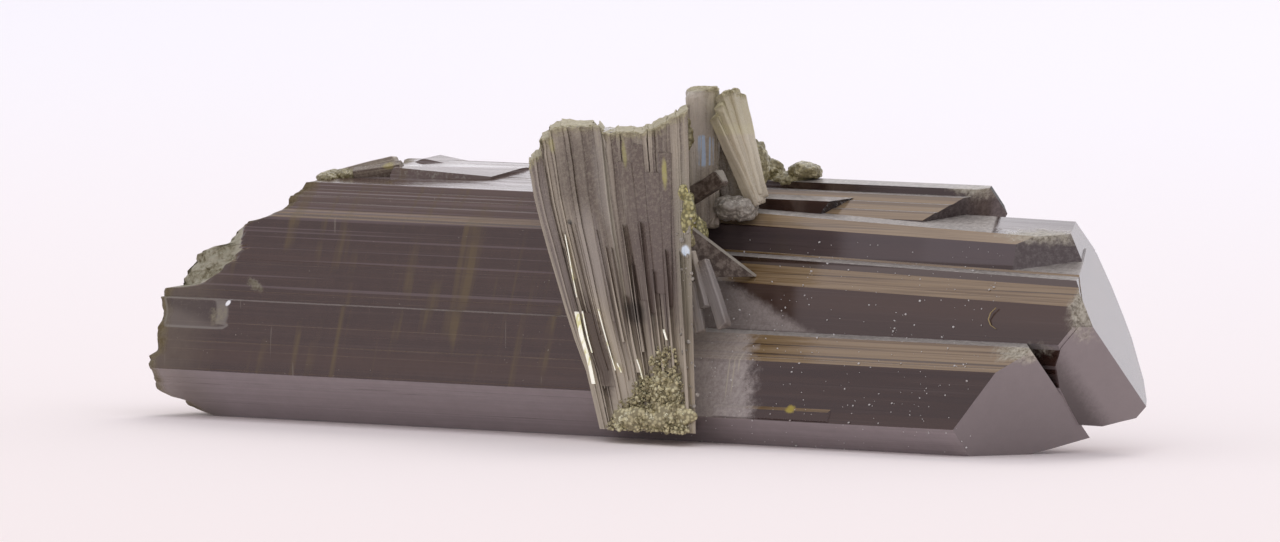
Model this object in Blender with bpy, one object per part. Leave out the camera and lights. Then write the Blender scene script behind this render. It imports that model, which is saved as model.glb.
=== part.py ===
"""Epidote crystal: a striated prism, 60 mm long, crossed by a fan of upright blades.

The long axis (the crystal's b axis) lies along X. Its faces belong to one zone, so an
outline in the YZ plane is a walk over named faces, each with its tilt and its width.
The origin is on the flat that the specimen rests on. -Y is the front and +Z is up.
"""
import math
import random

import bmesh
import bpy
from mathutils import Euler, Matrix, Vector

MM = 0.001

# Driving dimensions, in millimetres and degrees
NODE = "epidote_crystal"
LEFT_END = -30.2            # broken end of the long crystal
FRONT_FOOT_Y = -3.0         # lower front edge, which touches the table
FRONT_CORNER_X = 25.15      # lower front corner of the foremost prism
BLOCK_END = 5.5             # the left block runs in under the crossing blades
PRISM_START = -8.0          # and so do the right-hand prisms
REST_BACK_Y = 5.6           # back edge of the flat underneath

# Tilt of each face's normal in the YZ plane, measured from the front (-Y) upwards
FACE_TILT = {
    "under": -46.0,
    "riser": 17.7,
    "bevel": 52.4,
    "ledge": 82.3,
    "back_slope": 134.0,
    "back_riser": 197.7,
}
WEDGE_TILT = 35.2           # tilt of the end faces from the long axis
WEDGE_TURN = 47.2           # and the way they lean, from the horizontal

# The left block: faces passed from the front foot over the top to the back
LEFT_WALK = [
    ("under", 3.95), ("riser", 4.15), ("ledge", 0.35), ("riser", 4.95), ("bevel", 0.60),
    ("riser", 0.42), ("ledge", 0.10), ("riser", 0.36), ("ledge", 0.12), ("riser", 0.34),
    ("ledge", 0.12), ("riser", 0.40), ("ledge", 8.40), ("back_slope", 4.20), ("back_riser", 9.9),
]
# The foremost prism, then the next ones up the staircase, each from the ledge below it
FRONT_WALK = [("under", 2.02), ("riser", 3.48), ("bevel", 2.17), ("ledge", 3.2)]
THIRD_WALK = [("riser", 2.56), ("bevel", 1.59), ("riser", 0.39), ("ledge", 2.6)]
SECOND_WALK = [("riser", 1.56), ("bevel", 0.92), ("ledge", 2.4), ("back_slope", 2.6)]
STEP_WALK = [("riser", 0.86), ("ledge", 2.2)]
TOP_WALK = [
    ("bevel", 0.70), ("ledge", 0.12), ("bevel", 0.66), ("ledge", 0.12), ("bevel", 0.60),
    ("ledge", 0.45), ("riser", 0.40), ("ledge", 2.05), ("back_slope", 1.2),
]
LEDGE_FRONT = 1.1           # how much of each ledge shows before the next riser
# Reach of the two end faces of each prism from the front corner
FRONT_WEDGE = (0.0, 5.9)
THIRD_WEDGE = (0.3, 9.14)
MAIN_WEDGE = (-1.13, 9.08)
SECOND_WEDGE = (-6.35, 9.02)
STEP_WEDGE = (-20.4, 9.0)
TOP_WEDGE = (-15.8, 4.7)

# The crossing fan of blades: its front leans back, and its edges spread upwards
FAN_FOOT_Y = -7.0
FAN_LEAN = 0.2
FAN_LEFT = (2.88, -0.462)   # X at the foot, and its change for each mm upwards
FAN_RIGHT = (9.30, -0.190)
FAN_DEPTH = 5.2
FAN_TURN = (-0.6, 1.0)      # the way into the fan, in X and Y
FAN_FOOT_Z = 0.75
# Each blade: the share of the fan's width where it starts and ends, and its top
BLADES = [
    (0.000, 0.075, 15.7), (0.075, 0.125, 16.6), (0.125, 0.215, 17.45), (0.215, 0.290, 17.6),
    (0.290, 0.365, 17.5), (0.365, 0.455, 17.65), (0.455, 0.530, 17.25), (0.530, 0.610, 17.45),
    (0.610, 0.690, 17.75), (0.690, 0.765, 18.0), (0.765, 0.840, 18.3), (0.840, 0.915, 18.5),
    (0.915, 1.000, 18.65),
]
# Free crystals beside the fan: foot, tip, width, thickness, turn about their length
UPRIGHTS = [
    ((2.45, 2.6, 11.5), (2.35, 2.6, 19.45), 1.90, 1.7, 36.0),
    ((5.10, 3.9, 11.9), (3.05, 3.6, 19.2), 1.55, 1.3, 62.0),
]
STICKS = [
    ((3.0, 0.3, 13.3), (5.8, 0.4, 14.65), 0.62, 0.55, 0.0),
    ((5.3, -1.7, 11.25), (7.5, 0.8, 9.35), 0.50, 0.45, 0.0),
    ((7.4, -4.6, 10.1), (9.3, -4.3, 6.6), 0.80, 0.90, 0.0),
    ((-21.6, 0.9, 13.75), (-19.3, 2.6, 14.35), 1.30, 0.90, 0.0),
    ((8.5, -6.0, 0.5), (8.4, -6.1, 2.0), 0.42, 0.60, 0.0),
]
CRUST_FOOT = (2.7, 8.8)     # span of the grainy crust at its foot
CRUST_TOP_Z = 6.5
CRUST_GRAINS = 46
# Lumps: centre and half sizes
LUMPS = [
    ((-22.9, 0.9, 13.75), (0.8, 0.8, 0.5)), ((-22.0, 1.5, 13.85), (0.7, 0.7, 0.5)),
    ((-20.6, 2.4, 14.1), (0.9, 0.7, 0.4)),
    ((4.5, 2.5, 12.8), (0.9, 0.9, 0.9)), ((4.0, -0.5, 11.9), (1.3, 1.2, 1.4)),
    ((2.6, 8.0, 14.4), (1.1, 1.0, 1.1)), ((5.4, 8.0, 14.25), (1.4, 0.9, 0.8)),
    ((3.9, 5.4, 15.3), (0.8, 1.1, 1.6)), ((7.9, -0.25, 7.6), (2.2, 0.45, 1.0)),
]


def walk(start, steps):
    """Outline points met on the way over the named faces, as (Y, Z) pairs."""
    points = [Vector(start)]
    for face, width in steps:
        tilt = math.radians(FACE_TILT[face])
        points.append(points[-1] + width * Vector((math.sin(tilt), math.cos(tilt))))
    return points


def collection(name):
    """A new collection in the scene."""
    made = bpy.data.collections.new(name)
    bpy.context.scene.collection.children.link(made)
    return made


def finish(bm, name, home, hidden=True):
    """Turn a bmesh in millimetres into an object in metres."""
    bmesh.ops.recalc_face_normals(bm, faces=bm.faces)
    bmesh.ops.scale(bm, vec=(MM, MM, MM), verts=bm.verts)
    mesh = bpy.data.meshes.new(name)
    bm.to_mesh(mesh)
    bm.free()
    made = bpy.data.objects.new(name, mesh)
    home.objects.link(made)
    if hidden:
        made.hide_render = True
        made.display_type = "WIRE"
    return made


def prism(outline, x_start, x_end):
    """A bar along X with the given outline."""
    bm = bmesh.new()
    ring = [bm.verts.new((x_start, y, z)) for y, z in outline]
    face = bm.faces.new(ring)
    far = bmesh.ops.extrude_face_region(bm, geom=[face])["geom"]
    moved = [item for item in far if isinstance(item, bmesh.types.BMVert)]
    bmesh.ops.translate(bm, vec=(x_end - x_start, 0, 0), verts=moved)
    bmesh.ops.recalc_face_normals(bm, faces=bm.faces)
    return bm


def trim(bm, point, normal):
    """Cut away what lies past a plane, and close the cut with a flat face."""
    geom = bm.verts[:] + bm.edges[:] + bm.faces[:]
    cut = bmesh.ops.bisect_plane(bm, geom=geom, plane_co=point, plane_no=normal, clear_outer=True)
    rim = [item for item in cut["geom_cut"] if isinstance(item, bmesh.types.BMEdge)]
    bmesh.ops.holes_fill(bm, edges=rim, sides=0)


def wedge(bm, reach):
    """Trim the +X end with its lower and upper end faces."""
    corner = Vector((FRONT_CORNER_X, FRONT_FOOT_Y, 0))
    tilt = math.radians(WEDGE_TILT)
    turn = math.radians(WEDGE_TURN)
    lean = Vector((0, math.cos(turn), math.sin(turn))) * math.sin(tilt)
    along = Vector((math.cos(tilt), 0, 0))
    for side, distance in ((-1, reach[0]), (1, reach[1])):
        normal = along + side * lean
        trim(bm, corner + distance * normal, normal)


def left_block(home):
    """The long left part of the main crystal, up to the crossing blades."""
    outline = walk((FRONT_FOOT_Y, 0), LEFT_WALK)
    outline.append(Vector((REST_BACK_Y, 0)))
    bm = prism(outline, LEFT_END, BLOCK_END)
    trim(bm, Vector((LEFT_END + 0.3, -5.8, 2.6)), Vector((-1.0, -0.25, -0.35)))
    trim(bm, Vector((LEFT_END, -5.2, 5.6)), Vector((-1.0, 0.12, 0.12)))
    trim(bm, Vector((LEFT_END + 0.6, 5.5, 7.0)), Vector((-1.0, 0.5, 0.05)))
    trim(bm, Vector((LEFT_END + 1.5, FRONT_FOOT_Y, 0)), Vector((-0.75, -0.3, -1.0)))
    trim(bm, Vector((BLOCK_END, -5.84, 2.7)), Vector((0.82, 0.57, 0)))
    return finish(bm, NODE, home, hidden=False)


def breaks(home):
    """Blocks that lie where the broken end and the top have lost material."""
    pieces = [
        ((-34.0, 2.0, 14.5), (10.0, 24.0, 14.0), (0, 7, 8)),
        ((-31.2, 2.0, 16.6), (10.0, 24.0, 14.0), (4, -8, -9)),
        ((-28.2, 2.0, 18.0), (10.0, 24.0, 13.0), (-3, -9, 14)),
        ((-27.6, 3.0, 19.2), (9.0, 24.0, 12.4), (2, -16, -12)),
        ((-28.2, -5.15, 5.87), (6.0, 1.2, 1.65), (-17.7, 2, 0)),
        ((-15.3, 2.3, 14.05), (6.8, 1.9, 1.0), (7.7, 1, 3)),
        ((-19.0, 7.6, 15.4), (6.2, 3.4, 1.2), (6, 2, -6)),
        ((-27.0, 11.0, 5.0), (9.0, 3.0, 6.0), (12, 4, 18)),
        ((2.0, 11.4, 9.0), (13.0, 2.4, 4.6), (14, -3, 2)),
    ]
    for number, (centre, size, turn) in enumerate(pieces):
        bm = bmesh.new()
        bmesh.ops.create_cube(bm, size=1)
        bmesh.ops.scale(bm, vec=size, verts=bm.verts)
        turned = Euler([math.radians(angle) for angle in turn]).to_matrix()
        bmesh.ops.rotate(bm, cent=(0, 0, 0), matrix=turned, verts=bm.verts)
        bmesh.ops.translate(bm, vec=centre, verts=bm.verts)
        finish(bm, f"break_{number}", home)


def staircase(home):
    """The parallel prisms that climb to the right of the blades."""
    front = walk((FRONT_FOOT_Y, 0), FRONT_WALK)
    bm = prism(front + [Vector((3.9, 1.0)), Vector((1.6, 0.32)), Vector((0.4, 0.0))],
               PRISM_START, 34)
    wedge(bm, FRONT_WEDGE)
    finish(bm, "front_prism", home)

    ledge = math.radians(FACE_TILT["ledge"])
    along_ledge = Vector((math.sin(ledge), math.cos(ledge))) * LEDGE_FRONT
    third = walk(front[3] + along_ledge, THIRD_WALK)
    bm = prism([Vector((4.2, 6.0)), Vector((-0.2, 6.0))] + third, PRISM_START, 36)
    wedge(bm, THIRD_WEDGE)
    finish(bm, "third_prism", home)

    main = [Vector(point) for point in (
        (0.3, 0.8), (0.3, 8.0), (2.5, 10.2), (6.8, 10.8), (8.7, 8.6), (8.7, 5.85),
        (7.3, 2.5), (7.1, 1.85), (4.9, 1.15))]
    bm = prism(main, PRISM_START, 36)
    wedge(bm, MAIN_WEDGE)
    finish(bm, "main_prism", home)

    second = walk(third[3] + along_ledge, SECOND_WALK)
    bm = prism([Vector((7.0, 9.2)), Vector((2.2, 9.2))] + second, PRISM_START, 36)
    wedge(bm, SECOND_WEDGE)
    finish(bm, "second_prism", home)

    foot = second[2] + along_ledge
    step = walk(foot, STEP_WALK)
    bm = prism([Vector((7.4, 11.5)), Vector((3.4, 11.5)), foot - Vector((0, 0.3))] + step,
               PRISM_START, 34)
    wedge(bm, STEP_WEDGE)
    finish(bm, "step_prism", home)

    top = walk(foot + Vector((0.12, 0)), TOP_WALK)
    bm = prism([Vector((8.9, 7.0)), Vector((4.0, 7.0))] + top, PRISM_START, 34)
    wedge(bm, TOP_WEDGE)
    finish(bm, "top_prism", home)


def fan_place(share, height, inwards):
    """A point of the fan: across it, up it, and in from its front."""
    left = FAN_LEFT[0] + FAN_LEFT[1] * height
    right = FAN_RIGHT[0] + FAN_RIGHT[1] * height
    x = left + (right - left) * share
    y = FAN_FOOT_Y + FAN_LEAN * height
    return Vector((x + inwards * FAN_TURN[0], y + inwards * FAN_TURN[1], height))


def fan(home):
    """The crossing blades, side by side and fanning out upwards."""
    rng = random.Random(7)
    for number, (start, end, top) in enumerate(BLADES):
        proud = rng.uniform(-0.22, 0.22)
        crest = start + (end - start) * rng.uniform(0.35, 0.65)
        low, high = start - 0.006, end + 0.006
        back = FAN_DEPTH + rng.uniform(-1.2, 0.9)
        section = [(low, proud + 0.28), (crest, proud), (high, proud + 0.26),
                   (high, back - 0.4), (crest, back), (low, back - 0.3)]
        drop = [0.25, 0.0, 0.3, 0.5, 0.9, 0.6]
        bm = bmesh.new()
        ring = [bm.verts.new(fan_place(share, FAN_FOOT_Z, inwards)) for share, inwards in section]
        face = bm.faces.new(ring)
        far = bmesh.ops.extrude_face_region(bm, geom=[face])["geom"]
        heads = [item for item in far if isinstance(item, bmesh.types.BMVert)]
        for head in heads:
            place = min(range(len(ring)), key=lambda i: (ring[i].co - head.co).length)
            share, inwards = section[place]
            head.co = fan_place(share, top - drop[place], inwards)
        finish(bm, f"blade_{number}", home)


def bar(foot, tip, width, thickness, turn, name, home):
    """A small free crystal: a four-sided bar with a chisel tip."""
    foot, tip = Vector(foot), Vector(tip)
    axis = tip - foot
    bm = bmesh.new()
    bmesh.ops.create_cube(bm, size=1)
    bmesh.ops.scale(bm, vec=(width, thickness, axis.length), verts=bm.verts)
    bmesh.ops.translate(bm, vec=(0, 0, axis.length / 2), verts=bm.verts)
    trim(bm, Vector((0, 0, axis.length)), Vector((-0.42, -0.25, 1)))
    own_turn = Matrix.Rotation(math.radians(turn), 3, "Z")
    placed = Vector((0, 0, 1)).rotation_difference(axis).to_matrix() @ own_turn
    bmesh.ops.rotate(bm, cent=(0, 0, 0), matrix=placed, verts=bm.verts)
    bmesh.ops.translate(bm, vec=foot, verts=bm.verts)
    finish(bm, name, home)


def lumps(home):
    """Rounded masses where crystals meet, and the grainy crust at the fan's foot."""
    rng = random.Random(3)
    for number, (centre, half) in enumerate(LUMPS):
        bm = bmesh.new()
        bmesh.ops.create_icosphere(bm, subdivisions=2, radius=1)
        for vert in bm.verts:
            vert.co *= rng.uniform(0.82, 1.08)
        bmesh.ops.scale(bm, vec=half, verts=bm.verts)
        bmesh.ops.translate(bm, vec=centre, verts=bm.verts)
        finish(bm, f"lump_{number}", home)
    for number in range(CRUST_GRAINS):
        height = FAN_FOOT_Z + (CRUST_TOP_Z - FAN_FOOT_Z) * (1 - math.sqrt(rng.random()))
        share = (height - FAN_FOOT_Z) / (CRUST_TOP_Z - FAN_FOOT_Z)
        left = CRUST_FOOT[0] + 3.6 * share
        right = CRUST_FOOT[1] - 1.9 * share
        radius = rng.uniform(0.34, 0.62)
        bm = bmesh.new()
        bmesh.ops.create_icosphere(bm, subdivisions=1, radius=radius)
        for vert in bm.verts:
            vert.co *= rng.uniform(0.8, 1.15)
        front = FAN_FOOT_Y + FAN_LEAN * height + 0.3
        turned = Euler([rng.uniform(0, 6.28) for _ in range(3)]).to_matrix()
        bmesh.ops.rotate(bm, cent=(0, 0, 0), matrix=turned, verts=bm.verts)
        bmesh.ops.translate(bm, vec=(rng.uniform(left, right), front, height), verts=bm.verts)
        finish(bm, f"grain_{number}", home)


def join(body, others, operation):
    """A Boolean of the body with every object of a collection."""
    step = body.modifiers.new(operation.lower(), "BOOLEAN")
    step.operation = operation
    step.operand_type = "COLLECTION"
    step.collection = others
    step.solver = "EXACT"


def dark_epidote():
    """Glossy, nearly opaque olive brown."""
    material = bpy.data.materials.new("dark_epidote")
    material.use_nodes = True
    shader = material.node_tree.nodes["Principled BSDF"]
    shader.inputs["Base Color"].default_value = (0.060, 0.048, 0.036, 1)
    shader.inputs["Roughness"].default_value = 0.22
    shader.inputs["Metallic"].default_value = 0.0
    return material


for old in list(bpy.data.objects):
    bpy.data.objects.remove(old, do_unlink=True)
specimen = collection("epidote specimen")
grown = collection("grown together")
broken = collection("broken away")
body = left_block(specimen)
body.data.materials.append(dark_epidote())
staircase(grown)
fan(grown)
for index, sizes in enumerate(UPRIGHTS + STICKS):
    bar(*sizes, f"bar_{index}", grown)
lumps(grown)
breaks(broken)
join(body, broken, "DIFFERENCE")
join(body, grown, "UNION")
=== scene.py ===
"""Epidote crystal on a pale table: a long striated prism crossed by a fan of blades."""
import functools
import math
import random

import bmesh
import bpy
from mathutils import Euler, Matrix, Vector, noise
from mathutils.bvhtree import BVHTree


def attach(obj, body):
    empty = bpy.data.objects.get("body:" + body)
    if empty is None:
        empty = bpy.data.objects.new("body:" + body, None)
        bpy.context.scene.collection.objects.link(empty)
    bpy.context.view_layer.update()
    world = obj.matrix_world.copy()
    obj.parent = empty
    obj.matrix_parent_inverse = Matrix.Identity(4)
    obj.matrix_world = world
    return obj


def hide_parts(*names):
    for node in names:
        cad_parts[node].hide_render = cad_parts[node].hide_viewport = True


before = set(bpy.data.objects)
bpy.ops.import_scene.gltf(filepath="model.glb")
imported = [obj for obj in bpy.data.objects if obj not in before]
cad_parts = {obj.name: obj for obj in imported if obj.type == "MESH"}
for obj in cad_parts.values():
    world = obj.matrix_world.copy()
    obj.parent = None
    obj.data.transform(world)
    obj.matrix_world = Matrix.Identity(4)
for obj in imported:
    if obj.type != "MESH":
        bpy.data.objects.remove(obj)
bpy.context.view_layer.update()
MM = 0.001


# --- Table, light and camera ------------------------------
# The specimen lies on a pale, nearly white sheet under a soft even dome of light, and is
# looked at from its right-hand end, a little above the table, through a very long lens.
CAMERA_TURN = 37.582        # degrees round from the front, towards the wedge-shaped end
CAMERA_RISE = 3.312         # degrees above the table
CAMERA_ROLL = 0.164
CAMERA_LENS = 560
CAMERA_DISTANCE = 1112.47 * MM
CAMERA_AIM = Vector((-1.018, 1.291, 9.026)) * MM
TABLE_SIZE = 2.4
DOME_STRENGTH = 0.86
BACK_GLOW = (0.55, (-0.45, 0.87, 0.18))     # brighter towards the back, low down,
FRONT_SHADE = (-0.14, (-0.6, -0.66, 0.44))  # and dimmer towards the front left
LAMP_PLACE, LAMP_SIZE, LAMP_POWER = (-0.2, 0.58, 0.66), (0.45, 0.35), 1.5


def feed(made, inputs):
    """Give a shader node's inputs a plain value each, or another node's socket."""
    for key, value in inputs.items():
        if isinstance(value, bpy.types.NodeSocket):
            made.id_data.links.new(value, made.inputs[key])
        else:
            made.inputs[key].default_value = value


def node(tree, kind, inputs=None, **settings):
    """Add a shader node with its settings and inputs."""
    made = tree.nodes.new("ShaderNode" + kind)
    for key, value in settings.items():
        setattr(made, key, value)
    feed(made, inputs or {})
    return made


def new_material(name, base, roughness):
    """A material with its Principled BSDF, and the place on the piece in metres."""
    made = bpy.data.materials.new(name)
    made.use_nodes = True
    tree = made.node_tree
    shader = tree.nodes["Principled BSDF"]
    feed(shader, {"Base Color": (*base, 1), "Roughness": roughness})
    place = node(tree, "TexCoord").outputs["Object"]
    return made, shader, place


def scaled(where, scale):
    """A place scaled along each axis."""
    return node(where.id_data, "Mapping", {"Vector": where, "Scale": scale}).outputs[0]


def stretched(place, scale, turn=(0, 0, 0)):
    """The place scaled per millimetre along each axis, after turning it in degrees."""
    turned = node(place.id_data, "Mapping", {
        "Vector": place, "Rotation": [math.radians(angle) for angle in turn]})
    return scaled(turned.outputs[0], [share / MM for share in scale])


def fractal(where, detail=3.0, roughness=0.55):
    """Fractal noise, 0 to 1."""
    return node(where.id_data, "TexNoise", {
        "Vector": where, "Scale": 1.0, "Detail": detail, "Roughness": roughness}).outputs[0]


def noise_of(place, scale, detail=3.0, roughness=0.55):
    """Fractal noise with so many waves a millimetre along each axis."""
    return fractal(stretched(place, scale), detail, roughness)


def ramp(value, low, high):
    """0 below low, 1 above high, and smooth between them."""
    return node(value.id_data, "MapRange", {"Value": value, "From Min": low, "From Max": high},
                interpolation_type="SMOOTHSTEP").outputs[0]


def maths(operation, *values):
    """Arithmetic on sockets and numbers, from the first to the last."""
    tree = next(value.id_data for value in values if isinstance(value, bpy.types.NodeSocket))
    result = values[0]
    for value in values[1:]:
        result = node(tree, "Math", {0: result, 1: value}, operation=operation).outputs[0]
    return result


times, plus, minus, most, least = (functools.partial(maths, operation) for operation in (
    "MULTIPLY", "ADD", "SUBTRACT", "MAXIMUM", "MINIMUM"))


def along(where, direction):
    """How far a place or a direction reaches along another direction."""
    return node(where.id_data, "VectorMath", {0: where, 1: direction},
                operation="DOT_PRODUCT").outputs["Value"]


def blended(amount, low, high):
    """Blend of two colours."""
    made = node(amount.id_data, "Mix", data_type="RGBA")
    for key, value in (("Factor", amount), ("A", low), ("B", high)):
        socket = next(s for s in made.inputs if s.name == key and s.enabled)
        if isinstance(value, bpy.types.NodeSocket):
            made.id_data.links.new(value, socket)
        else:
            socket.default_value = (*value, 1)
    return next(s for s in made.outputs if s.enabled)


def table_sheet():
    """The pale sheet under the specimen, a little cooler towards the back."""
    made, shader, place = new_material("pale_sheet", (0.9, 0.87, 0.9), 0.9)
    depth = ramp(along(place, (0, 1, 0)), -0.16, 0.42)
    grain = noise_of(place, (1.5, 1.5, 1.5), 2)
    shade = blended(depth, (0.975, 0.885, 0.865), (0.89, 0.87, 0.915))
    shade = blended(times(grain, 0.03), shade, (1.0, 1.0, 1.0))
    feed(shader, {"Base Color": shade, "Specular IOR Level": 0.1})
    bm = bmesh.new()
    bmesh.ops.create_grid(bm, x_segments=2, y_segments=2, size=TABLE_SIZE / 2)
    mesh = bpy.data.meshes.new("table_sheet")
    bm.to_mesh(mesh)
    bm.free()
    sheet = bpy.data.objects.new("table_sheet", mesh)
    bpy.context.collection.objects.link(sheet)
    mesh.materials.append(made)


def dome_light():
    """A white dome, uneven as a real room is, and a soft box high behind the specimen."""
    world = bpy.data.worlds.new("soft_dome")
    bpy.context.scene.world = world
    world.use_nodes = True
    tree = world.node_tree
    sky = tree.nodes["Background"]
    facing = node(tree, "TexCoord").outputs["Generated"]
    level = DOME_STRENGTH
    for amount, direction in (BACK_GLOW, FRONT_SHADE):
        near = ramp(along(facing, direction), 0.75, 0.98)
        level = plus(level, times(near, amount))
    feed(sky, {"Color": (0.97, 0.955, 1.0, 1), "Strength": level})
    lamp = bpy.data.lights.new("soft_box", "AREA")
    lamp.shape = "RECTANGLE"
    lamp.size, lamp.size_y = LAMP_SIZE
    lamp.energy = LAMP_POWER
    lamp.color = (1.0, 0.98, 0.95)
    box = bpy.data.objects.new("soft_box", lamp)
    box.location = LAMP_PLACE
    box.rotation_euler = (Vector((0, 0, 0.01)) - box.location).to_track_quat("-Z", "Y").to_euler()
    bpy.context.collection.objects.link(box)


def long_lens():
    """The camera, aimed at the middle of the specimen."""
    data = bpy.data.cameras.new("long_lens")
    data.lens = CAMERA_LENS
    data.clip_start, data.clip_end = 0.1, 20
    eye = bpy.data.objects.new("long_lens", data)
    turn, rise = math.radians(CAMERA_TURN), math.radians(CAMERA_RISE)
    back = Vector((math.sin(turn) * math.cos(rise), -math.cos(turn) * math.cos(rise),
                   math.sin(rise)))
    eye.location = CAMERA_AIM + back * CAMERA_DISTANCE
    facing = (-back).to_track_quat("-Z", "Y").to_matrix()
    eye.rotation_euler = (facing @ Matrix.Rotation(math.radians(CAMERA_ROLL), 3, "Z")).to_euler()
    bpy.context.collection.objects.link(eye)
    bpy.context.scene.camera = eye


table_sheet()
dome_light()
long_lens()
bpy.context.scene.view_settings.view_transform = "Standard"


# --- The long left crystal ------------------------------
# One dark, glossy prism, striated along its length. Its outline is a walk over faces of
# the crystal's long zone. The left end is snapped off in knobbly terraces whose thin
# edges let olive light through, with a pale chip and a shallow notch beside it.
FRONT_FOOT_Y = -3.0         # millimetres from here on
BLOCK_END = 5.5
REST_BACK_Y = 5.6
# Tilt of each face's normal, from the front (-Y) upwards
FACE_TILT = {"under": -46.0, "riser": 17.7, "bevel": 52.4, "ledge": 82.3,
             "back_slope": 134.0, "back_riser": 197.7}
LEFT_WALK = [
    ("under", 3.95), ("riser", 4.15), ("ledge", 0.38), ("riser", 4.9), ("bevel", 0.75),
    ("riser", 0.4), ("ledge", 0.22), ("riser", 0.36), ("ledge", 0.22), ("riser", 0.33),
    ("ledge", 0.22), ("riser", 0.38), ("ledge", 7.9), ("back_slope", 4.2), ("back_riser", 9.9),
]
# Where the snapped end lies, as (height, X)
END_PROFILE = [
    (-0.1, -28.8), (0.15, -29.4), (0.35, -29.75), (0.75, -29.85), (0.9, -30.6), (1.05, -31.15),
    (1.3, -31.35), (2.0, -31.1), (2.75, -30.8), (3.3, -30.8), (3.7, -30.4), (4.4, -30.45),
    (5.8, -30.6), (6.6, -30.85), (6.95, -31.05), (7.2, -31.05), (7.34, -30.3), (7.45, -29.95),
    (8.2, -29.85), (8.5, -29.65), (8.85, -29.5), (9.1, -29.3), (9.55, -29.1), (9.75, -28.2),
    (9.85, -27.4), (10.1, -27.1), (10.6, -26.85), (10.87, -26.7), (11.07, -26.2),
    (11.37, -25.3), (11.8, -24.5), (12.15, -23.7), (12.6, -23.65), (13.05, -23.2),
    (13.35, -23.1), (13.6, -23.0), (14.6, -22.6),
]
# The pale chip's right-hand edge, as (height, X)
CHIP_EDGE = [(7.2, -29.6), (7.6, -28.0), (8.6, -26.6), (9.5, -25.95), (11.0, -26.0), (11.2, -26.3)]
CHIP_LOW, CHIP_HIGH = 7.35, 11.15       # heights, as the notch's are
NOTCH_RIGHT, NOTCH_LOW, NOTCH_HIGH = -25.7, 5.1, 6.75
END_MIDDLE = Vector((0, 1.5, 6.0))      # the end's edges are rounded towards here
RISER_FOOT = (-5.84, 2.74)  # Y and Z of the long riser's foot
RISER_SLOPE = 0.357
SLAB = (-18.6, -12.0)       # where the thin slab on the top face starts and ends in X
SLAB_FRONT = (1.0, 1.8)     # and its front edge's Y at each end


def clamped(value):
    """The value, held between 0 and 1."""
    return min(1.0, max(0.0, value))


def walk(start, steps):
    """Outline points met on the way over the named faces, as (Y, Z) pairs."""
    points = [Vector(start)]
    for face, width in steps:
        tilt = math.radians(FACE_TILT[face])
        points.append(points[-1] + width * Vector((math.sin(tilt), math.cos(tilt))))
    return points


def read_off(pairs, at):
    """The value at a place on a broken line of (place, value) pairs."""
    if at <= pairs[0][0]:
        return pairs[0][1]
    for (a, low), (b, high) in zip(pairs, pairs[1:]):
        if at <= b:
            return low + (high - low) * (at - a) / (b - a)
    return pairs[-1][1]


def striated(points, rng, pitch, depth, steps=0.35):
    """The same outline with fine grooves and steps along every long side."""
    fine = []
    for start, end in zip(points, points[1:]):
        side = end - start
        length = side.length
        out = Vector((-side.y, side.x)).normalized()
        fine.append(start)
        at = pitch * rng.uniform(0.4, 1.6)
        level = 0.0
        while at < length - pitch * 0.4:
            fine.append(start + side * (at / length) + out * level)
            level = -depth * rng.random()
            if rng.random() < steps:
                at += pitch * 0.08
            else:
                at += pitch * rng.uniform(0.4, 1.8)
    fine.append(points[-1])
    return fine


def bar(outline, x_start, x_end, slices, sway, rng):
    """A bar along X whose sides sway a little between its slices."""
    bm = bmesh.new()
    ring = [bm.verts.new((x_start, y, z)) for y, z in outline]
    face = bm.faces.new(ring)
    far = bmesh.ops.extrude_face_region(bm, geom=[face])["geom"]
    far_ring = [item for item in far if isinstance(item, bmesh.types.BMVert)]
    bmesh.ops.translate(bm, vec=(x_end - x_start, 0, 0), verts=far_ring)
    long_edges = [e for e in bm.edges if abs(e.verts[0].co.x - e.verts[1].co.x) > 0.1]
    bmesh.ops.subdivide_edges(bm, edges=long_edges, cuts=slices - 1)
    shift = Vector((rng.uniform(0, 50), 0, 0))
    for vert in bm.verts:
        x, y, z = vert.co
        wave = noise.noise(Vector((x * 0.22, y * 3.1, z * 3.1)) + shift)
        fine = noise.noise(Vector((x * 0.7, y * 9.0, z * 9.0)) + shift)
        if z > 0.02:
            vert.co.z += sway * (wave + 0.5 * fine) * 0.5
            vert.co.y += sway * (wave - 0.5 * fine)
    bmesh.ops.recalc_face_normals(bm, faces=bm.faces)
    return bm


def gridded_end(bm, x_end, pitch):
    """Cut the flat end at x_end into a grid of small faces."""
    bmesh.ops.triangulate(bm, faces=[f for f in bm.faces if len(f.verts) > 4])
    for axis, low, high in ((1, -5.6, 11.0), (2, 0.3, 14.6)):      # along Y, then up Z
        normal = Vector((0, 0, 0))
        normal[axis] = 1
        at = low
        while at < high:
            cap = [f for f in bm.faces if all(abs(v.co.x - x_end) < 0.05 for v in f.verts)]
            geom = cap + list(dict.fromkeys(e for f in cap for e in f.edges))
            geom += list(dict.fromkeys(v for f in cap for v in f.verts))
            bmesh.ops.bisect_plane(bm, geom=geom, plane_co=normal * at, plane_no=normal,
                                   dist=0.01)
            at += pitch


def moved(bm, scale=(1, 1, 1), turn=None, to=(0, 0, 0)):
    """Scale a whole bmesh, turn it and move it."""
    bmesh.ops.scale(bm, vec=scale, verts=bm.verts)
    if turn is not None:
        bmesh.ops.rotate(bm, cent=(0, 0, 0), matrix=turn, verts=bm.verts)
    bmesh.ops.translate(bm, vec=to, verts=bm.verts)
    return bm


def cuboid(size, centre):
    """A cuboid of the given size about its centre."""
    bm = bmesh.new()
    bmesh.ops.create_cube(bm, size=1)
    return moved(bm, size, to=centre)


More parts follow.
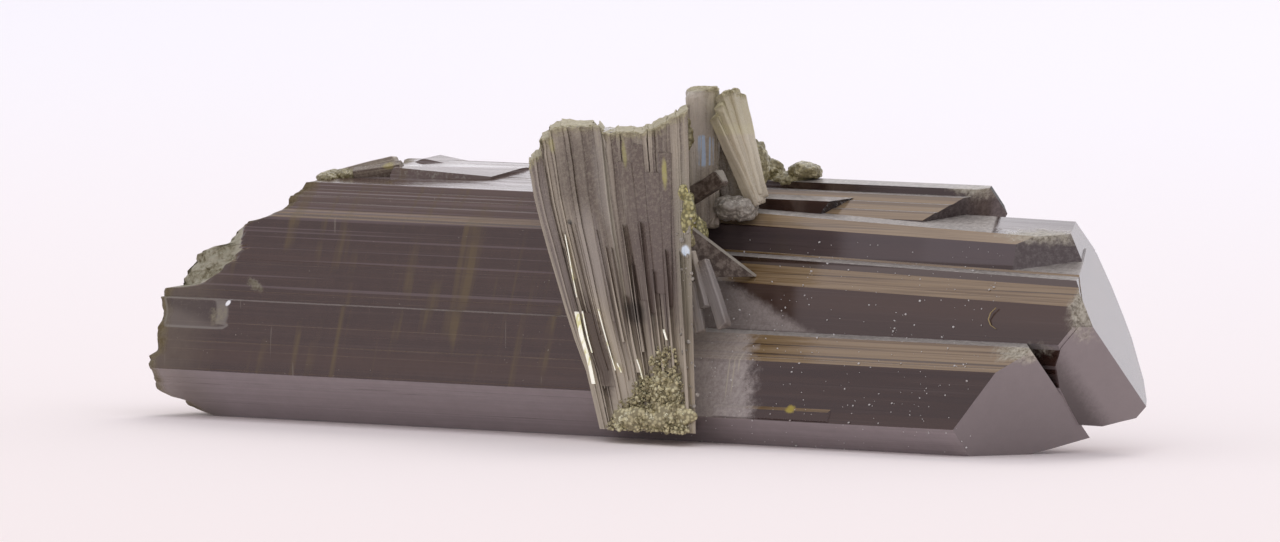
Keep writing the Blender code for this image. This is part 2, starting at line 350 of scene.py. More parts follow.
def trim(bm, point, normal):
    """Cut away what lies past a plane, and close the cut with a flat face."""
    geom = bm.verts[:] + bm.edges[:] + bm.faces[:]
    cut = bmesh.ops.bisect_plane(bm, geom=geom, plane_co=point, plane_no=normal, clear_outer=True)
    rim = [item for item in cut["geom_cut"] if isinstance(item, bmesh.types.BMEdge)]
    bmesh.ops.holes_fill(bm, edges=rim, sides=0)


def merged(parts):
    """One bmesh from several."""
    whole = bmesh.new()
    for part in parts:
        spare = bpy.data.meshes.new("spare")
        part.to_mesh(spare)
        part.free()
        whole.from_mesh(spare)
        bpy.data.meshes.remove(spare)
    return whole


def piece(bm, name, *materials):
    """A finished piece from a bmesh in millimetres, standing for the solid."""
    moved(bm, (MM, MM, MM))
    bmesh.ops.triangulate(bm, faces=[f for f in bm.faces if len(f.verts) > 4])
    mesh = bpy.data.meshes.new(name)
    bm.to_mesh(mesh)
    bm.free()
    made = bpy.data.objects.new(name, mesh)
    bpy.context.collection.objects.link(made)
    for material in materials:
        mesh.materials.append(material)
    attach(made, "root")
    return made


def patch(place, centre, half, turn=0.0, ragged=0.45, soft=0.25):
    """1 inside a ragged oval round a place in millimetres, turned about Y, and 0 outside."""
    local = node(place.id_data, "Mapping", {
        "Vector": place, "Location": [c * MM for c in centre],
        "Rotation": (0, math.radians(turn), 0), "Scale": [h * MM for h in half]},
        vector_type="TEXTURE").outputs[0]
    reach = node(place.id_data, "VectorMath", {0: local}, operation="LENGTH").outputs["Value"]
    edge = noise_of(place, (2.2, 2.2, 2.2), 4, 0.65)
    reach = plus(reach, times(minus(edge, 0.5), ragged * 3))
    return ramp(reach, 1 + soft, 1 - soft)


def attribute(place, name, kind="Fac"):
    """A value that the piece's own points carry."""
    return node(place.id_data, "Attribute", attribute_name=name).outputs[kind]


def over(body, colour, mask, share=None):
    """The body's colour with another laid over it where the mask is 1, or a share of it."""
    return blended(mask if share is None else times(mask, share), body, colour)


def bumped(shader, height, depth_mm):
    """Relief of the given depth on the shader."""
    relief = node(shader.id_data, "Bump", {"Height": height, "Distance": depth_mm * MM})
    feed(shader, {"Normal": relief.outputs[0]})


def crystal_body(name):
    """Glassy dark epidote: fine lines along its length, brown bevels, and a film below."""
    made, shader, place = new_material(name, (0.02, 0.012, 0.011), 0.16)
    feed(shader, {"IOR": 1.75, "Specular Tint": (1.0, 0.86, 0.86, 1)})
    facing = node(place.id_data, "NewGeometry").outputs["True Normal"]
    up, right = along(facing, (0, 0, 1)), along(facing, (1, 0, 0))
    bands = noise_of(place, (0.02, 0.5, 1.1), 3)
    lines = noise_of(place, (0.05, 5.0, 7.0), 4, 0.6)
    threads = noise_of(place, (0.12, 22.0, 26.0), 2)
    body = blended(ramp(bands, 0.35, 0.65), (0.02, 0.008, 0.0065), (0.04, 0.019, 0.013))
    body = over(body, (0.055, 0.034, 0.03), ramp(lines, 0.5, 0.75), 0.6)
    body = over(body, (0.13, 0.105, 0.105), ramp(threads, 0.6, 0.75), 0.2)
    bevel = times(ramp(up, 0.6, 0.7), ramp(up, 0.93, 0.84))
    tone = blended(ramp(lines, 0.3, 0.6), (0.13, 0.075, 0.028), (0.265, 0.18, 0.09))
    seams = noise_of(place, (0.012, 1.0, 5.0), 1)
    tone = blended(times(ramp(seams, 0.6, 0.64), 0.8), tone, (0.035, 0.018, 0.01))
    body = over(body, tone, bevel, 0.9)
    mottle = noise_of(place, (1.2, 1.2, 1.2), 5, 0.7)
    film = blended(mottle, (0.315, 0.27, 0.275), (0.4, 0.35, 0.36))
    below = times(ramp(up, -0.5, -0.62), ramp(right, 0.4, 0.2))
    body = over(body, film, below, plus(0.62, times(lines, 0.3)))
    height = plus(lines, times(threads, 0.3))
    return made, shader, place, facing, up, body, mottle, height


def finish_body(shader, body, rough, height, depth, dusty):
    """Join up the colour, roughness and relief of a crystal, and dull it where it is dusty."""
    gloss = minus(0.5, times(dusty, 0.44))
    feed(shader, {"Specular IOR Level": gloss, "Base Color": body, "Roughness": rough})
    bumped(shader, height, depth)


def left_finish():
    """The long crystal, with soft olive columns and its olive, pale and dusty left end."""
    made, shader, place, facing, up, body, mottle, height = crystal_body("striated_epidote")
    # a brown tinge in the body, and thin lilac lines on the upper riser
    brown = times(mottle, 0.5, ramp(up, -0.5, -0.35))
    body = over(body, (0.085, 0.046, 0.033), brown)
    fine = noise_of(place, (0.018, 0.4, 6.5), 1.5)
    level = along(place, (0, 0, 1))
    above = ramp(level, 6.6 * MM, 7.4 * MM)
    body = over(body, (0.135, 0.1, 0.104), times(ramp(fine, 0.57, 0.62), above), 0.55)
    # pale steps between the risers: dust, with painted highlights of the light from above
    steps = times(ramp(up, 0.9, 0.97), ramp(level, 13.38 * MM, 13.3 * MM))
    body = over(body, (0.32, 0.275, 0.255), steps, 0.85)
    # a lighter stretch below the top, with crisp light lines on it: painted light
    light = ramp(level, 11.6 * MM, 12.1 * MM)
    body = over(body, (0.165, 0.115, 0.098), light, 0.42)
    painted_light_lines = noise_of(place, (0.012, 0.2, 9.0), 1)
    body = over(body, (0.29, 0.25, 0.245), times(ramp(painted_light_lines, 0.56, 0.61), light), 0.6)
    # olive columns, where light comes through
    across = noise_of(place, (1.0, 0.03, 0.035), 3, 0.55)
    here = noise_of(place, (0.35, 0.1, 0.3), 2)
    olive = times(ramp(across, 0.5, 0.68), ramp(here, 0.42, 0.62))
    olive = times(olive, ramp(up, -0.45, -0.2))
    body = over(body, (0.12, 0.082, 0.022), olive, 0.62)
    leftmost = ramp(along(place, (1, 0, 0)), -25.5 * MM, -29.5 * MM)
    leftmost = times(leftmost, plus(0.25, times(mottle, 0.5)))
    body = over(body, (0.125, 0.098, 0.066), leftmost)
    # a few scratches and pale specks
    scratch = fractal(stretched(place, (5.0, 0.3, 0.22), (0, 14, 0)), 1)
    spots = noise_of(place, (0.3, 0.3, 0.3), 1)
    scratch = times(ramp(scratch, 0.735, 0.76), ramp(spots, 0.5, 0.56))
    specks = noise_of(place, (9, 9, 9), 1)
    specks = times(ramp(specks, 0.785, 0.81), ramp(spots, 0.42, 0.52))
    body = over(body, (0.36, 0.33, 0.27), most(times(scratch, 0.22), specks))
    # the end: olive rim, pale chip, dusty notch
    gravel = noise_of(place, (4, 4, 4), 7, 0.85)
    lumpy = noise_of(place, (1.1, 1.1, 1.1), 3)
    rim = ramp(plus(attribute(place, "rim"), times(lumpy, 0.6)), 0.45, 1.1)
    body = over(body, blended(ramp(gravel, 0.4, 0.6), (0.115, 0.085, 0.032), (0.185, 0.15, 0.08)),
                rim, 0.85)
    leftwards = ramp(along(facing, (-1, 0, 0)), 0.35, 0.6)
    body = over(body, (0.06, 0.042, 0.022), times(leftwards, ramp(lumpy, 0.5, 0.6)), 0.75)
    body = over(body, (0.34, 0.31, 0.21), times(leftwards, ramp(gravel, 0.58, 0.7)), 0.5)
    chip = attribute(place, "chip")
    pale = blended(ramp(gravel, 0.38, 0.62), (0.115, 0.095, 0.045), (0.42, 0.4, 0.3))
    pale = blended(ramp(lumpy, 0.42, 0.6), pale, (0.42, 0.4, 0.31))
    spot = patch(place, (-24.4, -4.0, 7.6), (0.5, 2.0, 0.28), 20, 0.9, 0.5)
    body = over(body, pale, ramp(chip, 0.2, 0.5))
    body = over(body, pale, spot, 0.6)
    notch = attribute(place, "notch")
    low = ramp(along(place, (0.25, 0, 1)), -0.9 * MM, -1.7 * MM)
    dusty = blended(most(ramp(gravel, 0.52, 0.68), low), (0.028, 0.02, 0.02), (0.15, 0.13, 0.115))
    body = over(body, dusty, ramp(notch, 0.3, 0.9), 0.5)
    edge = times(ramp(notch, 0.08, 0.3), ramp(notch, 0.85, 0.5))
    body = over(body, (0.3, 0.28, 0.25), edge, 0.45)
    corner = patch(place, (-26.3, -4.4, 5.8), (0.6, 1.0, 0.55), 0, 0.5, 0.4)
    corner = times(corner, ramp(gravel, 0.35, 0.6))
    body = over(body, (0.26, 0.235, 0.145), corner, 0.6)
    # a painted highlight: a small white glint on the notch's corner
    painted_glint = patch(place, (-25.78, -4.4, 6.55), (0.2, 1.0, 0.13), -40, 0.2)
    body = over(body, (0.95, 0.97, 1.0), painted_glint)
    # specks on the slab's dark front
    slab = patch(place, (-15.6, 1.4, 13.95), (3.3, 0.8, 0.33), 2, 0.2, 0.3)
    body = over(body, (0.2, 0.185, 0.15), slab, ramp(gravel, 0.5, 0.62))
    worn = most(rim, chip, spot)
    # the steps, with their painted highlights, are dulled like the worn end
    dusty = most(times(steps, 0.8), times(worn, 0.8))
    rough = plus(times(mottle, 0.12), plus(0.09, times(most(worn, steps), 0.35)))
    relief = plus(height, times(gravel, worn, 5.0))
    finish_body(shader, body, rough, relief, 0.01, dusty)
    return made


def snapped_end(bm, start):
    """Move the bar's left end to its broken outline, round it off, and chip it."""
    rim = bm.verts.layers.float.new("rim")
    chip = bm.verts.layers.float.new("chip")
    notch = bm.verts.layers.float.new("notch")
    for vert in bm.verts:
        x, y, z = vert.co
        depth = max(0.0, y + 5.0 - 0.3 * z)
        lumps = noise.noise((y * 0.8, z * 0.8, 3.1))
        knobs = noise.noise((y * 2.3, z * 2.3, 7.7))
        fine = noise.noise((y * 5.5, z * 5.5, 1.7))
        end = read_off(END_PROFILE, z) + 0.2 * knobs + 0.07 * fine
        end += min(depth, 6.0) * (0.16 + 0.13 * lumps) + min(depth, 1.5) * 0.1 * knobs
        share = (x - start) / (BLOCK_END - start)
        x = end + (BLOCK_END - end) * share ** 1.6
        near = max(0.0, 1 - (x - end) / 1.3)
        vert[rim] = near
        to_middle = (END_MIDDLE - Vector((0, y, z))).normalized()
        pull = (0.34 if z < 12.3 else 0.1) * near ** 3
        pull *= 0.9 + noise.noise((x, y * 2, z * 2))
        y += to_middle.y * pull
        z += max(to_middle.z, 0 if z < 0.1 else -1) * pull
        skin = RISER_FOOT[0] + RISER_SLOPE * (z - RISER_FOOT[1])
        if 2.9 < z < 11.3 and y < skin + 0.6:
            edge = read_off(CHIP_EDGE, z) + 0.3 * noise.noise((z * 2.5, 1, 1))
            if CHIP_LOW < z < CHIP_HIGH:
                vert[chip] = clamped((edge - x) / 0.35)
                rough = noise.noise((x * 2, 5, z * 2)) + 0.6 * noise.noise((x * 5, 9, z * 5))
                y += vert[chip] * (0.3 + 0.22 * rough)
            inside = clamped((NOTCH_RIGHT - x) / 0.15)
            inside *= clamped((z - NOTCH_LOW) / 0.12)
            inside *= clamped((NOTCH_HIGH - z) / 0.1)
            inside *= clamped((x - end - 0.35) / 0.3)
            inside *= 0.4 if x > NOTCH_RIGHT - 0.9 and z > NOTCH_LOW + 0.2 else 1.0
            vert[notch] = inside
            y += inside * (0.05 + 0.03 * knobs)
        vert.co = (x, y, z)


def top_slab():
    """A thin slab left standing on the top face, its front a low dark riser."""
    bm = cuboid((SLAB[1] - SLAB[0], 6.0, 1.0), (sum(SLAB) / 2, 4.0, 13.79))
    slope = (SLAB_FRONT[1] - SLAB_FRONT[0]) / (SLAB[1] - SLAB[0])
    trim(bm, (SLAB[0], SLAB_FRONT[0], 13.7), (slope, -1, 0.25))
    trim(bm, (SLAB[1], SLAB_FRONT[1], 13.95), (0.6, -0.3, 1.0))
    trim(bm, (SLAB[0], SLAB_FRONT[0], 14.22), (0.066, -0.135, 1.0))
    trim(bm, (SLAB[0], SLAB_FRONT[0], 13.8), (-1.0, -0.3, 0.4))
    ridge = cuboid((3.8, 1.7, 1.0), (-19.4, 6.5, 14.3))
    trim(ridge, (-20.0, 6.5, 14.72), (-0.34, -0.1, 1))
    trim(ridge, (-20.0, 6.5, 14.72), (0.13, -0.1, 1))
    trim(ridge, (-20.0, 5.8, 14.4), (0.0, -1.0, 0.2))
    bm = merged([bm, moved(ridge, to=(0, 0, -0.16))])
    bmesh.ops.recalc_face_normals(bm, faces=bm.faces)
    return bm


def left_crystal():
    """The left block: one long striated bar with a broken end, and the slab on its top."""
    rng = random.Random(11)
    outline = striated(walk((FRONT_FOOT_Y, 0), LEFT_WALK), rng, pitch=0.15, depth=0.014)
    outline.append(Vector((REST_BACK_Y, 0)))
    start = -30.0
    block = bar(outline, start, BLOCK_END, slices=64, sway=0.01, rng=random.Random(5))
    gridded_end(block, start, pitch=0.42)
    snapped_end(block, start)
    trim(block, (BLOCK_END, *RISER_FOOT), (0.82, 0.57, 0))
    return piece(merged([block, top_slab()]), "left_crystal", left_finish())


left = left_crystal()
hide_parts("epidote_crystal")


# --- The stepped prisms of the right half ------------------------------
# Parallel prisms grown side by side climb to the back like a staircase. Each ends in two
# smooth faces that meet in a slanting ridge, and they are one crystal with the left block.
FRONT_CORNER = Vector((25.15, FRONT_FOOT_Y, 0))
PRISM_START, FRONT_START = -8.0, 0.5     # the foremost prism starts further right
PRISM_REACH = 36
LEDGE_FRONT = 1.1           # how much of each ledge shows before the next riser
WEDGE_TILT = 35.2           # tilt of the end faces from the long axis
WEDGE_TURN = 47.2           # and the way they lean, from the horizontal
FRONT_WALK = [("under", 2.2), ("riser", 3.35), ("bevel", 2.17), ("ledge", 3.2)]
THIRD_WALK = [("riser", 2.56), ("bevel", 1.59), ("riser", 0.39), ("ledge", 2.6)]
SECOND_WALK = [("riser", 1.56), ("bevel", 0.92), ("ledge", 3.6), ("back_slope", 2.6)]
STEP_WALK = [("riser", 0.86), ("ledge", 2.2)]
TOP_WALK = [
    ("bevel", 0.7), ("ledge", 0.12), ("bevel", 0.66), ("ledge", 0.12), ("bevel", 0.6),
    ("ledge", 0.45), ("riser", 0.42), ("ledge", 1.25), ("back_slope", 1.6),
]
# The whole outline of the main prism, behind the front and the third one, as (Y, Z)
MAIN_OUTLINE = [
    (2.35, 1.62), (1.25, 2.75), (0.35, 3.75), (-0.4, 5.0), (-0.55, 6.0), (0.3, 8.5),
    (1.65, 9.6), (2.5, 10.2), (6.8, 11.2), (8.77, 10.75), (9.15, 8.9), (9.11, 7.3),
    (8.93, 6.03), (7.74, 3.88), (6.5, 2.85), (5.75, 2.55), (5.45, 1.9), (3.72, 1.48),
]
DROOP = ((6.2, 2.0, 0.021), (11.55, 0.6, 0.01))      # lowest Z, depth of the change, slope
DROOP_START = 12.7
FOOT_STEP_SPAN = (8.6, 17.0)
FOOT_STEP = [(-4.7, 1.64), (-4.53, 2.12), (-4.12, 2.44), (-3.8, 2.5), (-3.8, 1.5)]
# Rough faces across the prisms' ends: a point and the way each one faces
BROKEN_CORNER = ((30.25, -0.34, 7.2), (0.802, -0.372, 0.467))
SECOND_END = ((24.0, 2.6, 10.09), (0.581, -0.764, 0.279))
FRONT_BACK = ((28.66, -1.75, 5.61), (0.85, 0.68, 0.734))
# Crumbs where the prisms end: centre, half sizes, turn
CRUMBLY_CORNERS = [
    ((28.0, -2.0, 5.8), (1.5, 1.2, 0.5), 0), ((25.3, 3.7, 11.85), (2.8, 1.6, 0.42), 4),
    ((17.3, 7.2, 14.2), (2.2, 1.4, 0.5), 14), ((30.2, 0.6, 8.6), (0.6, 1.9, 1.75), -4),
]
STREAKS = ((9.1, 1.3), (9.45, 1.2), (9.7, 0.5))     # X and half length of dusty streaks
STREAK_TOP = 5.1
# Hazes on the risers: lowest and highest Z, strength, colour
HAZES = [(10.2, 11.7, 0.6, (0.115, 0.095, 0.104)), (9.15, 9.85, 0.6, (0.15, 0.122, 0.11)),
         (6.2, 8.7, 0.3, (0.11, 0.075, 0.062))]
SECOND_RISER = 10.0         # the second prism's riser lies above this height


def wedge_normals():
    """The directions that the lower and the upper end faces look in."""
    tilt, turn = math.radians(WEDGE_TILT), math.radians(WEDGE_TURN)
    lean = Vector((0, math.cos(turn), math.sin(turn))) * math.sin(tilt)
    return [Vector((math.cos(tilt), 0, 0)) + side * lean for side in (-1, 1)]


def wedge(bm, lower, upper):
    """Trim the right-hand end with its lower and upper end faces."""
    for normal, reach in zip(wedge_normals(), (lower, upper)):
        trim(bm, FRONT_CORNER + reach * normal, normal)


def right_finish():
    """The stepped prisms, with filmed and pitted end faces and dusty corners."""
    made, shader, place, facing, up, body, mottle, height = crystal_body("stepped_epidote")
    gravel = noise_of(place, (4, 4, 4), 7, 0.85)
    spot_mm = stretched(place, (1, 1, 1))
    x, y, z = node(place.id_data, "SeparateXYZ", {"Vector": spot_mm}).outputs
    lower, upper = wedge_normals()
    # lower end faces: an even grey film on the two big ones, bare and dark on the others
    on_lower = ramp(along(facing, lower), 0.93, 0.97)
    reach, corner = along(spot_mm, lower), FRONT_CORNER.dot(lower)
    big = ramp(reach, corner - 3.0, corner - 2.5)
    film = blended(mottle, (0.2, 0.173, 0.174), (0.238, 0.207, 0.208))
    body = over(body, blended(ramp(gravel, 0.4, 0.7), (0.05, 0.038, 0.038), (0.15, 0.13, 0.12)),
                on_lower)
    stub = ramp(reach, corner - 18.6, corner - 19.0)
    body = over(body, blended(ramp(gravel, 0.54, 0.66), (0.026, 0.024, 0.024), (0.45, 0.46, 0.46)),
                on_lower, stub)
    body = over(body, film, on_lower, big)
    # painted shade: the lower end face darkens towards the groove between the front and the main
    # prism
    groove_shade = plus(z, times(y, 0.926), times(minus(gravel, 0.5), 1.2))
    groove_shade = times(ramp(groove_shade, 5.9, 4.3), ramp(groove_shade, 3.55, 3.65))
    rear = ramp(reach, corner + 0.03, corner + 0.05)
    body = over(body, (0.05, 0.042, 0.04), times(groove_shade, rear), times(on_lower, 0.88))
    # upper end faces: pale, but dark and pitted where the front and the top prism end
    on_upper = ramp(along(facing, upper), 0.93, 0.97)
    reach, corner = along(spot_mm, upper), FRONT_CORNER.dot(upper)
    pitted = times(on_upper, ramp(reach, corner + 7.5, corner + 7.0))
    body = over(body, blended(ramp(gravel, 0.5, 0.72), (0.02, 0.02, 0.018), (0.22, 0.2, 0.19)),
                pitted)
    on_end = ramp(along(facing, SECOND_END[1]), 0.97, 0.99)
    body = over(body, blended(ramp(gravel, 0.42, 0.72), (0.034, 0.024, 0.024), (0.13, 0.115, 0.11)),
                on_end)
    # olive and pale crumbs where the prisms end, and a dusty veil beside the fan
    crumbs = blended(ramp(gravel, 0.36, 0.62), (0.26, 0.23, 0.17), (0.6, 0.56, 0.47))
    worn = pitted
    for centre, half, turn in CRUMBLY_CORNERS:
        spot = patch(place, centre, half, turn, 0.6, 0.55)
        spot = times(spot, ramp(gravel, 0.28, 0.48), minus(1.0, on_upper))
        body = over(body, crumbs, spot, 0.85)
        worn = most(worn, spot)
    veil = blended(ramp(gravel, 0.35, 0.65), (0.34, 0.3, 0.285), (0.52, 0.465, 0.44))
    waver = times(minus(mottle, 0.5), 2.0)
    fronts = ramp(along(facing, (0, -1, 0.3)), 0.02, 0.15)
    across = plus(x, times(y, 0.77))
    foot = ramp(plus(across, times(waver, 1.6)), 8.5, 7.1)
    foot = times(foot, ramp(z, 6.2, 6.1), ramp(z, 1.45, 1.6),
                 minus(1.0, times(ramp(z, 4.5, 4.6), 0.2)))
    slant = ramp(plus(across, times(z, 2.2), waver), 26.3, 24.5)
    slant = times(slant, times(ramp(z, 10.4, 10.2), ramp(z, 6.15, 6.25)))
    for part in (foot, slant):
        body = over(body, veil, times(part, fronts), 0.85)
        worn = most(worn, times(part, fronts, 0.7))
    for along_x, length in STREAKS:
        centre = (along_x, -3.6, STREAK_TOP - length)
        streak = patch(place, centre, (0.05, 2.0, length), -5, 0.25, 0.4)
        body = over(body, (0.52, 0.47, 0.36), streak, 0.6)
    # a lilac haze on the second riser and a warm one on the third
    front_side = ramp(along(facing, (0, 1, 0)), -0.8, -0.92)
    for low, high, amount, tint in HAZES:
        band = times(ramp(z, low - 0.05, low + 0.05), ramp(z, high + 0.05, high - 0.05))
        if low > SECOND_RISER:
            band = times(band, plus(0.75, times(ramp(x, 17.0, 18.2), 0.25)))
        body = over(body, tint, times(band, front_side), amount)
    warm = times(ramp(up, 0.55, 0.65), ramp(up, 0.93, 0.84), ramp(z, 10.9, 11.1))
    body = over(body, (0.4, 0.31, 0.21), warm, 0.35)
    # the ledge behind the second prism is dusty left of a slanting line, clean right of it
    flat = ramp(up, 0.95, 0.98)
    dull = most(ramp(plus(x, times(y, 0.64)), 24.2, 23.8), ramp(z, 11.45, 11.25))
    dull = times(least(dull, plus(0.35, times(gravel, 0.9))), flat)
    thick = blended(ramp(gravel, 0.35, 0.65), (0.3, 0.272, 0.25), (0.62, 0.58, 0.54))
    body = over(body, thick, dull, 0.88)
    yellow = patch(place, (13.9, -4.4, 2.2), (0.3, 1.0, 0.2), 0, 0.6, 0.4)
    body = over(body, (0.42, 0.33, 0.035), yellow, 0.9)
    rough = plus(times(mottle, 0.1), plus(0.07, times(most(worn, dull), 0.32)))
    relief = plus(height, times(gravel, worn, 6.0))
    dusty = times(most(worn, dull), 0.95)
    finish_body(shader, body, rough, relief, 0.006, dusty)
    return made


def droop(bm):
    """Let the middle prisms' edges sink a little towards their right-hand ends."""
    for vert in bm.verts:
        x, y, z = vert.co
        slope = sum(share * clamped((z - low) / deep) for low, deep, share in DROOP)
        fade = clamped((9.6 - y) / 5.0)
        vert.co.z -= (x - DROOP_START) * slope * fade


def right_prisms():
    """The staircase, from the foremost prism to the top one, and the step at its foot."""
    rng = random.Random(23)
    ledge = math.radians(FACE_TILT["ledge"])
    along_ledge = Vector((math.sin(ledge), math.cos(ledge))) * LEDGE_FRONT
    front = walk((FRONT_FOOT_Y, 0), FRONT_WALK)
    third = walk(front[3] + along_ledge, THIRD_WALK)
    second = walk(third[3] + along_ledge, SECOND_WALK)
    foot = second[2] + along_ledge
    main = [Vector(point) for point in MAIN_OUTLINE]
    # Each prism's outline, the points that close it, and how far its two end faces reach
    plans = [
        (front, [(3.9, 1.0), (1.6, 0.32), (0.4, 0.0)], (0.0, 20.0)),
        (third, [(4.2, 5.5), (-0.3, 5.56)], (0.07, 9.07)),
        (main, [], (0.1, 9.1)),
        (second, [(7.0, 9.2), (2.2, 9.2)], (20.0, 9.0)),
        (walk(foot, STEP_WALK), [(7.4, 11.0), (3.4, 11.0), (foot.x, foot.y - 0.8)], (-21.6, 9.0)),
        (walk(foot + Vector((0.12, 0)), TOP_WALK), [(8.9, 7.0), (4.0, 7.0)], (-15.8, 4.7)),
    ]
    parts = []
    for path, closing, reach in plans:
        start = FRONT_START if path is front else PRISM_START
        outline = striated(path, rng, pitch=0.26, depth=0.01, steps=0.25)
        outline += [Vector(point) for point in closing]
        prism = bar(outline, start, PRISM_REACH, slices=44, sway=0.005, rng=rng)
        if path is not front:
            trim(prism, (start, 5.0, 8.0), (-1.0, 0.9, 0.2))
        if path is third or path is second or path is main:
            droop(prism)
        wedge(prism, *reach)
        point, normal = Vector(BROKEN_CORNER[0]), Vector(BROKEN_CORNER[1])
        if path is main:
            trim(prism, point, normal)
        elif path is third:
            trim(prism, point - 0.03 * normal, normal)
        elif path is second:
            trim(prism, *SECOND_END)
        elif path is front:
            trim(prism, *FRONT_BACK)
        parts.append(prism)
    step = bar([Vector(point) for point in FOOT_STEP], *FOOT_STEP_SPAN, 12, 0.02, rng)
    trim(step, (16.7, -4.3, 1.6), (1.0, -0.5, 0.1))
    parts.append(step)
    return piece(merged(parts), "right_prisms", right_finish())


right = right_prisms()


# --- The crossing fan ------------------------------
# Dozens of thin blades and needles, grown side by side across the long crystal and fanning
# out upwards. Light through thin edges is painted yellow-green, and a few faces are painted as
# flashes.
FAN_FOOT = (-7.0, 0.75)     # Y and Z of the fan's foot
FAN_LEAN = 0.2
FAN_LEFT = (2.88, -0.462)   # X at the table, and its change for each mm upwards
FAN_RIGHT = (9.3, -0.19)
FAN_DEPTH = 5.2
FAN_TURN = (-0.77, 1.0)     # the way into the fan, in X and Y
# How far the fan's left edge bulges out, as (height, millimetres)
FAN_BULGE = [(4.0, 0.0), (5.8, 0.33), (7.9, 0.52), (10.0, 0.64), (12.0, 0.78), (13.6, 0.78),
             (16.0, 0.55)]
# Its ragged upper edge, as (share of the way across, height)
FAN_TOPS = [(0.0, 14.9), (0.012, 15.3), (0.035, 15.55), (0.0899, 15.72), (0.09, 16.45),
            (0.1549, 16.7), (0.155, 16.95), (0.2, 17.28), (0.4699, 17.42), (0.47, 16.97),
            (0.6, 17.1), (0.72, 17.1), (0.83, 17.5), (0.9, 17.95), (1.0, 18.45)]
# Groups of blades: share where each group ends, and how far back it stands
FAN_GROUPS = ((0.09, -0.04), (0.155, 0.14), (0.47, 0.0), (1.0, 0.2))
# Wide blades behind them that close the gaps: left share, top, front and back
FAN_CORES = ((0.0, 15.2, 0.4, FAN_DEPTH - 0.3), (0.17, 17.0, 0.5, FAN_DEPTH - 0.5))
BLADE_WIDTHS = (0.007, 0.01, 0.016, 0.024, 0.036, 0.055, 0.08)
NEEDLE_WIDTH = 0.012        # narrower ones are needles, bright or dark
SHORT_BLADES = 20           # tapering blades in front of the others
CRUMBLY_FROM = 13.5         # the fan crumbles above this height
FAN_SPREAD = 6.0            # millimetres that a share of 1 stands for in the zones below
# Zones of other colour: place across, height, half sizes, colour, strength
FAN_ZONES = [
    (4.62, 11.3, 1.12, 4.3, (0.12, 0.087, 0.075), 1.0),
    (1.85, 14.6, 0.85, 2.5, (0.085, 0.058, 0.045), 0.8),
    (3.7, 15.3, 0.5, 1.3, (0.12, 0.085, 0.07), 0.6),
    (2.7, 14.5, 0.3, 2.6, (0.28, 0.245, 0.215), 0.6),
    (2.86, 12.8, 0.1, 4.6, (0.44, 0.4, 0.33), 0.8),
    (1.8, 10.4, 0.5, 2.4, (0.3, 0.26, 0.235), 0.65),
    (0.27, 11.5, 0.28, 4.4, (0.25, 0.208, 0.19), 0.6),
    (1.0, 5.0, 0.5, 2.6, (0.075, 0.048, 0.033), 1.0),
    (3.3, 7.2, 0.5, 0.6, (0.045, 0.036, 0.032), 0.7),
    (5.08, 14.9, 0.09, 0.75, (0.44, 0.4, 0.12), 0.8),
    (3.62, 15.9, 0.08, 0.7, (0.38, 0.35, 0.13), 0.7),
    (0.95, 16.2, 0.12, 0.4, (0.42, 0.38, 0.16), 0.7),
    # painted shade: a near-black dot standing for a small hole
    (1.14, 12.0, 0.1, 0.13, (0.012, 0.01, 0.01), 0.9),
    (5.75, 11.0, 0.35, 4.6, (0.3, 0.27, 0.205), 0.8),
    # a painted highlight: a blue-white glint near the fan's right edge
    (5.78, 10.7, 0.15, 0.26, (0.8, 0.9, 1.0), 1.5),
]
# Painted flashes: share at the foot and at the head, width, and foot and head heights
PAINTED_FLASHES = [(0.014, 0.058, 0.038, 3.2, 7.1), (0.096, 0.118, 0.013, 4.9, 7.15),
           (0.262, 0.252, 0.01, 4.0, 7.3), (0.768, 0.752, 0.018, 5.8, 6.35),
           (0.506, 0.486, 0.012, 3.6, 4.7), (0.312, 0.298, 0.014, 3.9, 4.4),
           (0.107, 0.135, 0.008, 7.9, 11.3)]
# Broad smooth faces: shares at foot and head, foot and head heights, how far in, tone
SMOOTH_FACES = [
    (((0.6, 0.668), (0.55, 0.642)), 7.9, 15.5, 0.13, 0.3),
    (((0.664, 0.728), (0.638, 0.722)), 7.2, 16.5, 0.145, 0.2),
    (((0.724, 0.8), (0.718, 0.815)), 8.3, 15.0, 0.12, 0.28),
    (((0.796, 0.85), (0.811, 0.895)), 7.6, 16.1, 0.135, 0.22),
    (((0.092, 0.258), (0.105, 0.215)), 3.1, 7.15, -0.05, 0.05),
]


def fan_edges(height):
    """X of the fan's left and right edges at a height."""
    left_x = FAN_LEFT[0] + FAN_LEFT[1] * height - read_off(FAN_BULGE, height)
    return left_x, FAN_RIGHT[0] + FAN_RIGHT[1] * height


def fan_place(share, height, inwards):
    """A point of the fan: across it, up it, and in from its front."""
    left_x, right_x = fan_edges(height)
    x = left_x + (right_x - left_x) * share
    y = FAN_FOOT[0] + FAN_LEAN * height
    return Vector((x + inwards * FAN_TURN[0], y + inwards * FAN_TURN[1], height))


